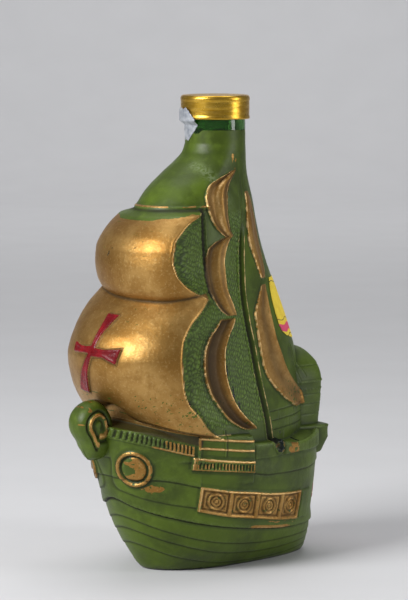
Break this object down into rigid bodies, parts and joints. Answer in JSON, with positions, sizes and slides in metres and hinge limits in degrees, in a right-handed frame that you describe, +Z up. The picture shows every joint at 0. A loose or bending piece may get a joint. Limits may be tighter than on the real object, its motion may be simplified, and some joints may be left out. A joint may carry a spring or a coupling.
{
  "type": "ship-shaped bottle",
  "caption": "Hollow moulded-glass decanter bottle shaped like a sailing ship, painted green and bronze, with a round neck and a threaded gold screw cap.",
  "frame": {"origin": "on the neck axis, in the plane of the flat resting face", "axes": "+Z up along the neck axis; -X towards the bow, +X towards the stern; -Y to the port side. The bottle mirrors about the XZ plane."},
  "size_m": [0.1397, 0.0874, 0.225],
  "materials": {
    "painted_glass": "satin",
    "gold_cap": "brushed, gold lacquer",
    "cork_wad": "matte",
    "foil_facing": "satin",
    "silver_paper": "satin paper",
    "yellow_paper": "coated paper",
    "pink_paper": "coated paper"
  },
  "bodies": {
    "bottle": {"glass_bottle": "painted_glass", "tax_strip": "silver_paper", "back_label": "yellow_paper", "stern_label": "pink_paper"},
    "liner": {"cap_liner": "cork_wad", "liner_facing": "foil_facing"},
    "cap": {"cap_shell": "gold_cap"}
  },
  "joints": [
    {"name": "cap_rise", "type": "slide", "parent": "bottle", "child": "liner", "axis": [0, 0, 1], "range_m": [0, 0.0128]},
    {"name": "cap_turn", "type": "hinge", "parent": "liner", "child": "cap", "pos_m": [0, 0, 0.219], "axis": [0, 0, 1], "range_deg": [0, 1080]}
  ],
  "couplings": [
    {"joint": "cap_rise", "follows": "cap_turn", "m_per_rad": 0.00067375}
  ]
}
